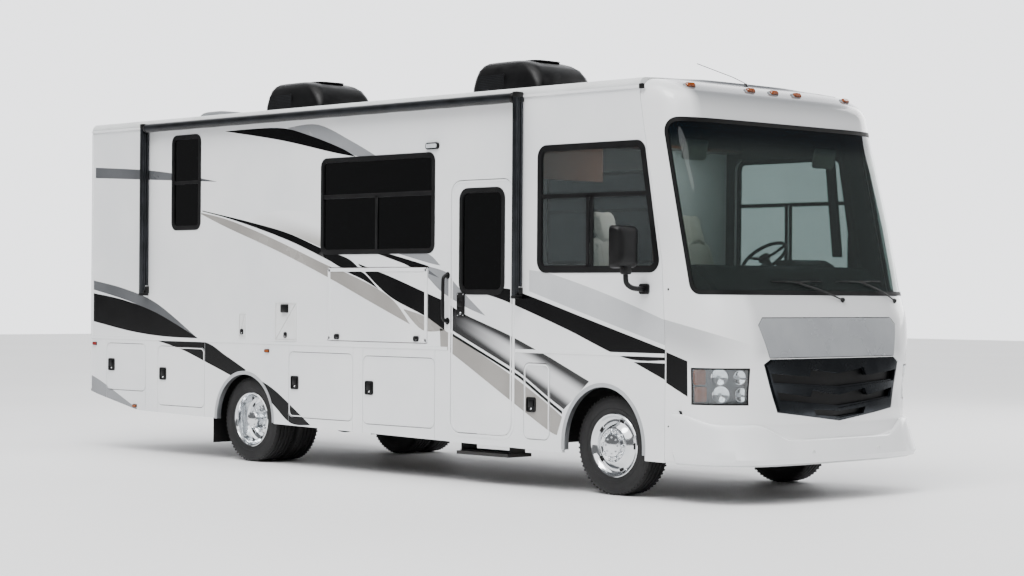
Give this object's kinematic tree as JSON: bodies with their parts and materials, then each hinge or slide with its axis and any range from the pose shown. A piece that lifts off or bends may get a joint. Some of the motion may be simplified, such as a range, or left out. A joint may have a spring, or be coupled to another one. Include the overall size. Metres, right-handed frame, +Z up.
{
  "type": "class A motorhome",
  "caption": "Flat-fronted self-propelled touring home on a ladder chassis, with entry door, luggage bays, awning, slide-out room and twin rear wheels.",
  "frame": {"origin": "on the ground, under the centre of the vehicle's bounding box", "axes": "+X to the front, +Y to the driver's (left) side, +Z up"},
  "size_m": [9.03, 3.305, 3.782],
  "materials": {
    "coach_white": "glossy white gelcoat",
    "silver_paint": "silver clear-coated paint",
    "black_paint": "black powder coat",
    "chassis_black": "black chassis paint",
    "cast_iron": "bare casting",
    "tyre_rubber": "black rubber",
    "chrome": "polished wheel covers",
    "window_glass": "dark tinted glass",
    "windshield_glass": "clear laminated glass with a tinted top band",
    "lamp_lens": "clear polycarbonate",
    "dark_chrome": "smoked chrome",
    "black_plastic": "grained black plastic",
    "grey_plastic": "smooth grey plastic",
    "seat_leather": "pale vinyl leather",
    "wood": "brown laminate",
    "floor_board": "vinyl plank floor",
    "black_abs": "black shroud",
    "aluminium": "anodised tube"
  },
  "bodies": {
    "coach": {"chassis_frame": "chassis_black", "engine_block": "cast_iron", "radiator": "black_plastic", "fuel_tank": "black_plastic", "exhaust_system": "chassis_black", "leaf_springs": "chassis_black", "front_axle": "chassis_black", "rear_axle": "cast_iron", "rear_bumper": "chassis_black", "wheelhouses": "black_plastic", "floor": "floor_board", "stepwell": "black_plastic", "outside_step": "black_paint", "side_wall_right": "coach_white", "side_wall_left": "coach_white", "rear_wall": "coach_white", "roof": "coach_white", "skirt_right": "coach_white", "skirt_left": "coach_white", "luggage_bays": "black_plastic", "front_cap": "silver_paint", "windshield": "windshield_glass", "side_windows": "window_glass", "headlights": "lamp_lens", "grille": "dark_chrome", "dashboard": "black_plastic", "cab_seats": "seat_leather", "furniture": "wood", "door_mirrors": "black_plastic", "awning_roller": "black_paint", "awning_arms": "black_paint", "air_conditioners": "black_abs", "roof_vents": "grey_plastic", "rear_ladder": "aluminium"},
    "entry_door": {"entry_door": "coach_white", "entry_door_glass": "window_glass"},
    "bay_door_right_1": {"bay_door_right_1": "coach_white"},
    "bay_door_right_2": {"bay_door_right_2": "coach_white"},
    "bay_door_right_3": {"bay_door_right_3": "coach_white"},
    "bay_door_right_4": {"bay_door_right_4": "coach_white"},
    "galley_door": {"galley_door": "coach_white"},
    "utility_door": {"utility_door": "coach_white"},
    "bay_door_left_1": {"bay_door_left_1": "coach_white"},
    "bay_door_left_2": {"bay_door_left_2": "coach_white"},
    "bay_door_left_3": {"bay_door_left_3": "coach_white"},
    "hood": {"hood": "silver_paint"},
    "slide_out": {"slide_out_room": "coach_white", "slide_out_glass": "window_glass"},
    "steering_wheel": {"steering_wheel": "black_plastic"},
    "knuckle_right": {"knuckle_right": "cast_iron"},
    "knuckle_left": {"knuckle_left": "cast_iron"},
    "front_wheel_right": {"front_tyre_right": "tyre_rubber", "front_rim_right": "chrome"},
    "front_wheel_left": {"front_tyre_left": "tyre_rubber", "front_rim_left": "chrome"},
    "rear_wheels_right": {"rear_tyres_right": "tyre_rubber", "rear_rims_right": "chrome"},
    "rear_wheels_left": {"rear_tyres_left": "tyre_rubber", "rear_rims_left": "chrome"}
  },
  "joints": [
    {"name": "steer_right", "type": "hinge", "parent": "coach", "child": "knuckle_right", "pos_m": [3.036, -0.9, 0.409], "axis": [0, 0, 1], "range_deg": [-40, 40]},
    {"name": "steer_left", "type": "hinge", "parent": "coach", "child": "knuckle_left", "pos_m": [3.036, 0.9, 0.409], "axis": [0, 0, 1], "range_deg": [-40, 40]},
    {"name": "steering_wheel_turn", "type": "hinge", "parent": "coach", "child": "steering_wheel", "pos_m": [3.181, 0.56, 1.965], "axis": [-0.6157, 0, 0.788], "range_deg": [-601, 601]},
    {"name": "front_wheel_right_spin", "type": "hinge", "parent": "knuckle_right", "child": "front_wheel_right", "pos_m": [3.036, -1.045, 0.409], "axis": [0, 1, 0], "continuous": true},
    {"name": "front_wheel_left_spin", "type": "hinge", "parent": "knuckle_left", "child": "front_wheel_left", "pos_m": [3.036, 1.045, 0.409], "axis": [0, 1, 0], "continuous": true},
    {"name": "rear_wheels_right_spin", "type": "hinge", "parent": "coach", "child": "rear_wheels_right", "pos_m": [-1.79, -1.072, 0.409], "axis": [0, 1, 0], "continuous": true},
    {"name": "rear_wheels_left_spin", "type": "hinge", "parent": "coach", "child": "rear_wheels_left", "pos_m": [-1.79, 1.072, 0.409], "axis": [0, 1, 0], "continuous": true},
    {"name": "entry_door_hinge", "type": "hinge", "parent": "coach", "child": "entry_door", "pos_m": [1.955, -1.2825, 1.5], "axis": [0, 0, 1], "range_deg": [0, 88]},
    {"name": "bay_door_right_1_hinge", "type": "hinge", "parent": "coach", "child": "bay_door_right_1", "pos_m": [-3.441, -1.2825, 0.78], "axis": [0, 0, 1], "range_deg": [0, 100]},
    {"name": "bay_door_right_2_hinge", "type": "hinge", "parent": "coach", "child": "bay_door_right_2", "pos_m": [-2.427, -1.2825, 0.78], "axis": [0, 0, 1], "range_deg": [0, 100]},
    {"name": "bay_door_right_3_hinge", "type": "hinge", "parent": "coach", "child": "bay_door_right_3", "pos_m": [-0.148, -1.2825, 0.78], "axis": [0, 0, 1], "range_deg": [0, 100]},
    {"name": "bay_door_right_4_hinge", "type": "hinge", "parent": "coach", "child": "bay_door_right_4", "pos_m": [0.975, -1.2825, 0.78], "axis": [0, 0, 1], "range_deg": [0, 100]},
    {"name": "utility_door_hinge", "type": "hinge", "parent": "coach", "child": "utility_door", "pos_m": [2.411, -1.2825, 0.74], "axis": [0, 0, 1], "range_deg": [0, 100]},
    {"name": "galley_door_hinge", "type": "hinge", "parent": "coach", "child": "galley_door", "pos_m": [0.1825, -1.2825, 1.871], "axis": [-1, 0, 0], "range_deg": [0, 95]},
    {"name": "bay_door_left_1_hinge", "type": "hinge", "parent": "coach", "child": "bay_door_left_1", "pos_m": [-2.735, 1.2825, 0.78], "axis": [0, 0, -1], "range_deg": [0, 100]},
    {"name": "bay_door_left_2_hinge", "type": "hinge", "parent": "coach", "child": "bay_door_left_2", "pos_m": [-0.148, 1.2825, 0.78], "axis": [0, 0, -1], "range_deg": [0, 100]},
    {"name": "bay_door_left_3_hinge", "type": "hinge", "parent": "coach", "child": "bay_door_left_3", "pos_m": [0.975, 1.2825, 0.78], "axis": [0, 0, -1], "range_deg": [0, 100]},
    {"name": "hood_hinge", "type": "hinge", "parent": "coach", "child": "hood", "pos_m": [4.336, 0, 1.463], "axis": [0, -1, 0], "range_deg": [0, 80]},
    {"name": "slide_out_travel", "type": "slide", "parent": "coach", "child": "slide_out", "axis": [0, 1, 0], "range_m": [0, 0.76]}
  ],
  "couplings": [
    {"joint": "steer_left", "follows": "steer_right", "ratio": 1},
    {"joint": "steering_wheel_turn", "follows": "steer_right", "ratio": 15}
  ]
}
